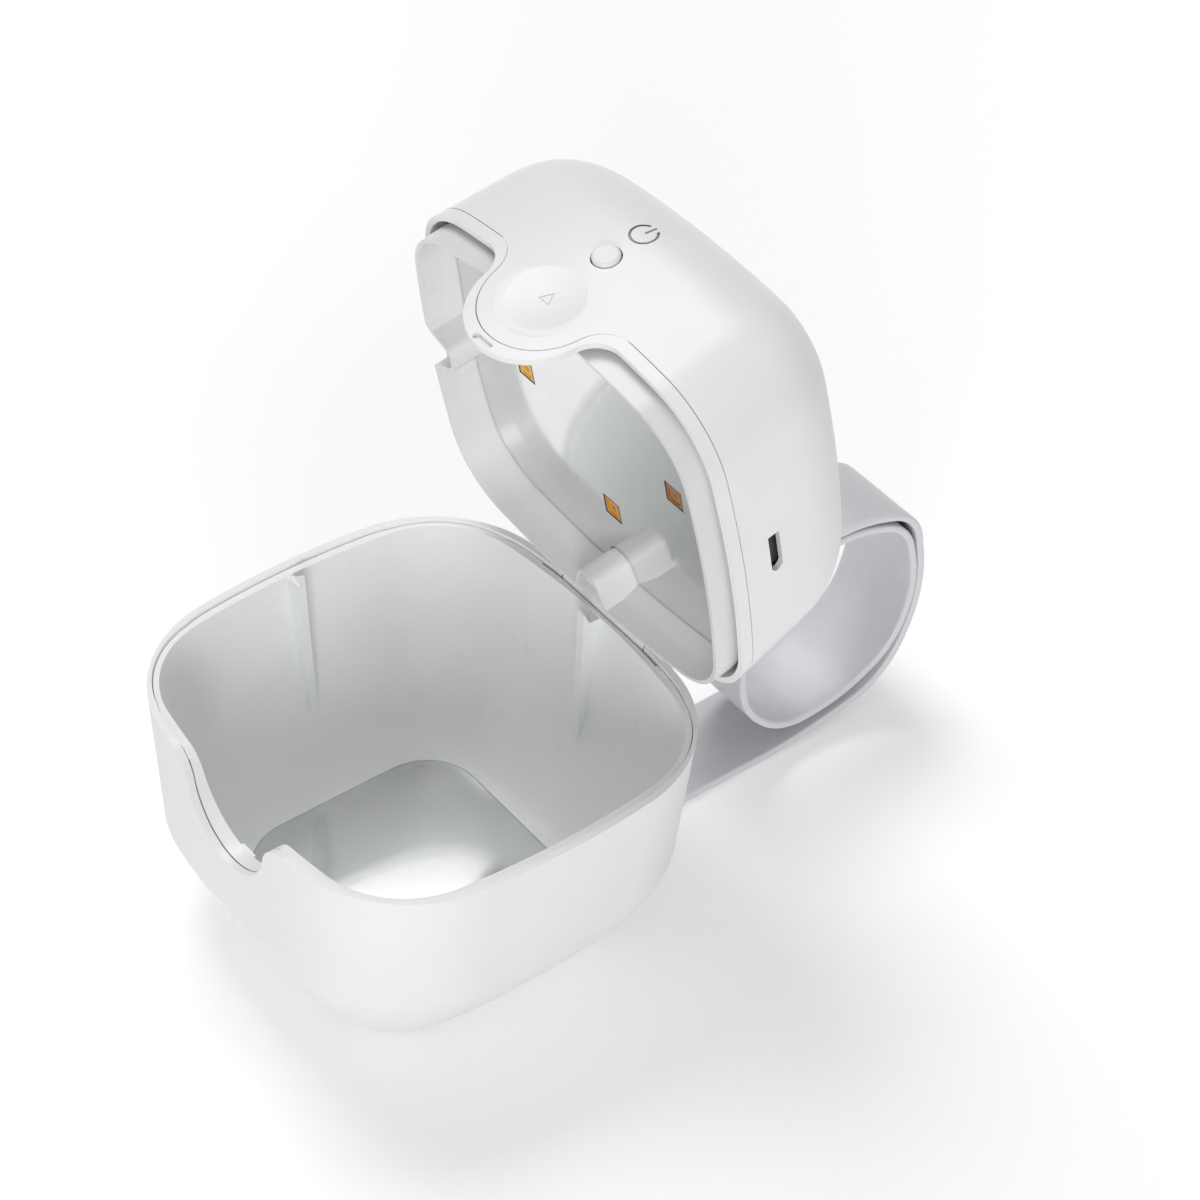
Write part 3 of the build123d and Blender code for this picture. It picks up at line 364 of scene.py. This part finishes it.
def foam():
    """Open-celled adhesive foam, the hollow of each cell painted darker as painted shade."""
    finish = Finish("black foam")
    # painted shade: the hollow in the middle of each cell is painted darker
    cell = finish.cells(0.5)
    return finish.finish(
        Base_Color=finish.mix(cell.step(0.1, 0.6), (0.035, 0.035, 0.035), (0.09, 0.09, 0.09)),
        Roughness=0.85 + cell * 0.1,
        Normal=finish.bump(cell, 0.2, 0.8),
    )


def lead_sheath():
    """One red and one black lead."""
    finish = Finish("lead sheaths")
    y, _ = finish.shut()
    scuff = finish.noise(0.7, 3)
    red = finish.mix(scuff, (0.50, 0.025, 0.02), (0.42, 0.03, 0.025))
    return finish.finish(
        Base_Color=finish.mix(y > LEAD_SPLIT_Y, red, (0.03, 0.03, 0.03)),
        Roughness=0.38 + scuff * 0.16,
        Normal=finish.bump(scuff, 0.01, 0.3),
    )


def cable_film():
    """Amber film with copper tracks along it."""
    finish = Finish("flexible cable")
    phase = (finish.x * (2 * pi)).math("COSINE")
    track = phase.step(-0.1, 0.25)
    gloss = finish.noise(1.5, 3)
    return finish.finish(
        Base_Color=finish.mix(track, (0.55, 0.27, 0.05), (0.72, 0.42, 0.14)),
        Roughness=0.22 + gloss * 0.2,
        Normal=finish.bump(track, 0.02, 0.5),
    )


shell = shell_plastic()
steel = brushed("brushed steel", (0.60, 0.60, 0.61), (0.52, 0.52, 0.53), 0.26, (0.1, 1, 1))
nickel = brushed("nickel plate", (0.66, 0.65, 0.62), (0.58, 0.57, 0.54), 0.14, (1, 1, 0.2))
board = circuit_board()
black = black_plastic()
cup_liner = liner_plastic("bright liner", (0.895, 0.91, 0.903), (0.87, 0.885, 0.878))
lid_liner = liner_plastic("frosted liner", (0.765, 0.77, 0.77), (0.74, 0.745, 0.745))
FINISHES = {
    "base_shell": shell, "rim_frame": shell, "power_button": shell, "lid_shell": printed_shell(),
    "base_liner": cup_liner, "lid_liner": lid_liner,
    "floor_mirror": mirror("dark floor mirror", (0.66, 0.67, 0.67), (0.61, 0.62, 0.62), 0.05),
    "reflector_panel": mirror("lid mirror", (0.80, 0.805, 0.81), (0.76, 0.765, 0.77), 0.06),
    "uv_lamps": lamp(),
    "hinge_pin": steel, "lid_screws": steel, "board_screws": steel,
    "sensor_magnet": nickel, "snap_stud": nickel, "snap_cap": nickel, "strap_rivets": nickel,
    "main_board": board, "button_board": board,
    "board_chips": black, "hall_sensor": black, "tact_switch": black, "charging_socket": black,
    "battery": battery_foil(), "battery_pad": foam(), "battery_leads": lead_sheath(),
    "button_cable": cable_film(),
}
for node_name, material in FINISHES.items():
    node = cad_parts[node_name]
    for index in range(max(1, len(node.material_slots))):
        if node.material_slots:
            node.material_slots[index].material = material
        else:
            node.data.materials.append(material)


# ---- The band -----------------------------------------------------------------------------------
def rounded_route(points):
    """The route with each corner turned into an arc, as points in metres on the plane x = 0."""
    route = [Vector((0, *points[0]))]
    for before, corner, after in zip(points, points[1:], points[2:]):
        corner = Vector((0, *corner))
        first = corner - Vector((0, *before))
        second = Vector((0, *after)) - corner
        turn = first.angle(second)
        reach = ARC_SHARE * min(first.length, second.length)
        radius = reach / tan(turn / 2)
        start = corner - first.normalized() * reach
        bend = second.normalized() - first.normalized()
        middle = corner + bend.normalized() * (radius / cos(turn / 2))
        steps = max(3, round(turn / ARC_STEP))
        spoke = start - middle
        sign = 1 if first.cross(second).x > 0 else -1
        for step in range(steps + 1):
            angle = sign * turn * step / steps
            arm = Vector((0, spoke.y * cos(angle) - spoke.z * sin(angle),
                          spoke.y * sin(angle) + spoke.z * cos(angle)))
            route.append(middle + arm)
    route.append(Vector((0, *points[-1])))
    return [point * MM for point in route]


def apply_modifier(piece, kind, **settings):
    modifier = piece.modifiers.new(kind, kind)
    for name, value in settings.items():
        setattr(modifier, name, value)
    bpy.context.view_layer.objects.active = piece
    bpy.ops.object.modifier_apply(modifier=modifier.name)


def make_strap():
    """A ribbon drawn out along its route, thickened, its edges rounded and its holes punched."""
    route = rounded_route(STRAP_ROUTE)
    bpy.ops.object.select_all(action="DESELECT")
    bpy.ops.mesh.primitive_grid_add(x_subdivisions=STRAP_COLUMNS, y_subdivisions=1, size=1)
    strap = bpy.context.object
    strap.name = "soft_strap"
    strap.scale = (STRAP_WIDTH * MM, 1, 1)
    bpy.ops.object.transform_apply(location=False, rotation=False, scale=True)
    # Only the grid's front edge is kept, laid on the first point of the route
    bpy.ops.object.mode_set(mode="EDIT")
    bpy.ops.mesh.select_mode(type="VERT")
    bpy.ops.mesh.select_all(action="DESELECT")
    bpy.ops.object.mode_set(mode="OBJECT")
    for vertex in strap.data.vertices:
        vertex.select = vertex.co.y > 0
    bpy.ops.object.mode_set(mode="EDIT")
    bpy.ops.mesh.delete(type="VERT")
    bpy.ops.mesh.select_all(action="SELECT")
    bpy.ops.transform.translate(value=route[0] + Vector((0, 0.5, 0)))
    for before, after in zip(route, route[1:]):
        bpy.ops.mesh.extrude_region_move(TRANSFORM_OT_translate={"value": after - before})
    bpy.ops.mesh.select_all(action="SELECT")
    bpy.ops.mesh.normals_make_consistent(inside=False)
    bpy.ops.object.mode_set(mode="OBJECT")
    apply_modifier(strap, "SOLIDIFY", thickness=STRAP_THICKNESS * MM, offset=0, use_even_offset=True)
    apply_modifier(strap, "BEVEL", width=STRAP_EDGE * MM, segments=3, limit_method="ANGLE",
                   angle_limit=radians(60))
    for x, y, z, radius, depth in (
        (RIVET_X, RIVET_Y, STRAP_THICKNESS / 2, RIVET_R, RIVET_PUNCH),
        (-RIVET_X, RIVET_Y, STRAP_THICKNESS / 2, RIVET_R, RIVET_PUNCH),
        (RIVET_X, RIVET_Y, 0, RIVET_HEAD_R, 2 * RIVET_HEAD_SINK),
        (-RIVET_X, RIVET_Y, 0, RIVET_HEAD_R, 2 * RIVET_HEAD_SINK),
        (0, STUD_Y, STUD_Z, STUD_R, STUD_PUNCH),
    ):
        bpy.ops.mesh.primitive_cylinder_add(
            vertices=48, radius=radius * MM, depth=depth * MM, location=(x * MM, y * MM, z * MM))
        punch = bpy.context.object
        apply_modifier(strap, "BOOLEAN", operation="DIFFERENCE", object=punch, solver="EXACT")
        bpy.data.objects.remove(punch, do_unlink=True)
    bpy.ops.object.select_all(action="DESELECT")
    strap.select_set(True)
    bpy.context.view_layer.objects.active = strap
    bpy.ops.object.shade_smooth_by_angle(angle=radians(40))
    strap.data.materials.append(strap_silicone())
    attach(strap, "base")
    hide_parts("strap")


make_strap()

# ---- Camera -----------------------------------------------------------------------------------
AZIMUTH = radians(53.292)
ELEVATION = radians(42.182)
TARGET = Vector((-0.0019, 0.03405, 0.0407))
DISTANCE = 0.6
LENS = 120
back = Vector((sin(AZIMUTH) * cos(ELEVATION), -cos(AZIMUTH) * cos(ELEVATION), sin(ELEVATION)))
bpy.ops.object.camera_add(location=TARGET + DISTANCE * back)
camera = bpy.context.object
camera.rotation_mode = "QUATERNION"
camera.rotation_quaternion = (-back).to_track_quat("-Z", "Y")
camera.data.sensor_width = 36
camera.data.lens = LENS
camera.data.clip_start = 0.01
bpy.context.scene.camera = camera
bpy.context.scene.view_settings.view_transform = "Standard"


# ---- Floor, backdrop and light ------------------------------------------------------------------
def seen_directly(nodes, links):
    """1 where the eye, a reflection or a pane looks at it, 0 where it only lights something."""
    path = nodes.new("ShaderNodeLightPath")
    total = path.outputs["Is Camera Ray"]
    for ray in ("Is Glossy Ray", "Is Transmission Ray"):
        either = nodes.new("ShaderNodeMath")
        either.operation = "MAXIMUM"
        links.new(total, either.inputs[0])
        links.new(path.outputs[ray], either.inputs[1])
        total = either.outputs[0]
    return total


FILL_LEVEL = 0.38           # light from all round
FLOOR_LIFT = 0.22           # what the paper adds where it is looked at
PAPER_WHITE = 0.97
PAPER_SIZE = 6
PAPER_DROP = 0.0002         # the paper lies just under the object's foot
KEY_ENERGY = 31.8           # high on the left, for the shadow on the floor
KEY_DISTANCE = 2.77
KEY_PLACE = TARGET + KEY_DISTANCE * Vector((-0.46, 0.12, 0.88))
KEY_SIZE = 1.3
FRONT_ENERGY = 23.5         # low and broad, for the walls that face the front and the right
FRONT_DISTANCE = 2.4
FRONT_PLACE = TARGET + FRONT_DISTANCE * Vector((0.75, -0.62, 0.21))
FRONT_SIZE = 0.95

world = bpy.data.worlds.new("studio")
bpy.context.scene.world = world
world.use_nodes = True
sky_nodes, sky_links = world.node_tree.nodes, world.node_tree.links
background = sky_nodes["Background"]
background.inputs["Color"].default_value = (1, 1, 1, 1)
level = sky_nodes.new("ShaderNodeMapRange")
level.inputs["To Min"].default_value = FILL_LEVEL
level.inputs["To Max"].default_value = 1.0
sky_links.new(seen_directly(sky_nodes, sky_links), level.inputs["Value"])
sky_links.new(level.outputs["Result"], background.inputs["Strength"])

bpy.ops.mesh.primitive_plane_add(size=PAPER_SIZE, location=(0, 0, -PAPER_DROP))
floor = bpy.context.object
floor.name = "floor"
paper = bpy.data.materials.new("white paper")
paper.use_nodes = True
floor_nodes, floor_links = paper.node_tree.nodes, paper.node_tree.links
paper_shader = floor_nodes["Principled BSDF"]
paper_shader.inputs["Base Color"].default_value = (PAPER_WHITE, PAPER_WHITE, PAPER_WHITE, 1)
paper_shader.inputs["Roughness"].default_value = 0.9
paper_shader.inputs["Specular IOR Level"].default_value = 0.0
paper_shader.inputs["Emission Color"].default_value = (1, 1, 1, 1)
lift = floor_nodes.new("ShaderNodeMath")
lift.operation = "MULTIPLY"
lift.inputs[1].default_value = FLOOR_LIFT
floor_links.new(seen_directly(floor_nodes, floor_links), lift.inputs[0])
floor_links.new(lift.outputs[0], paper_shader.inputs["Emission Strength"])
floor.data.materials.append(paper)


def add_lamp(name, place, size, energy):
    """A square studio lamp that faces the object."""
    bpy.ops.object.light_add(type="AREA", location=place)
    lamp_object = bpy.context.object
    lamp_object.name = name
    lamp_object.data.size = size
    lamp_object.data.energy = energy
    lamp_object.rotation_mode = "QUATERNION"
    lamp_object.rotation_quaternion = (TARGET - place).to_track_quat("-Z", "Y")


add_lamp("key", KEY_PLACE, KEY_SIZE, KEY_ENERGY)
add_lamp("front", FRONT_PLACE, FRONT_SIZE, FRONT_ENERGY)
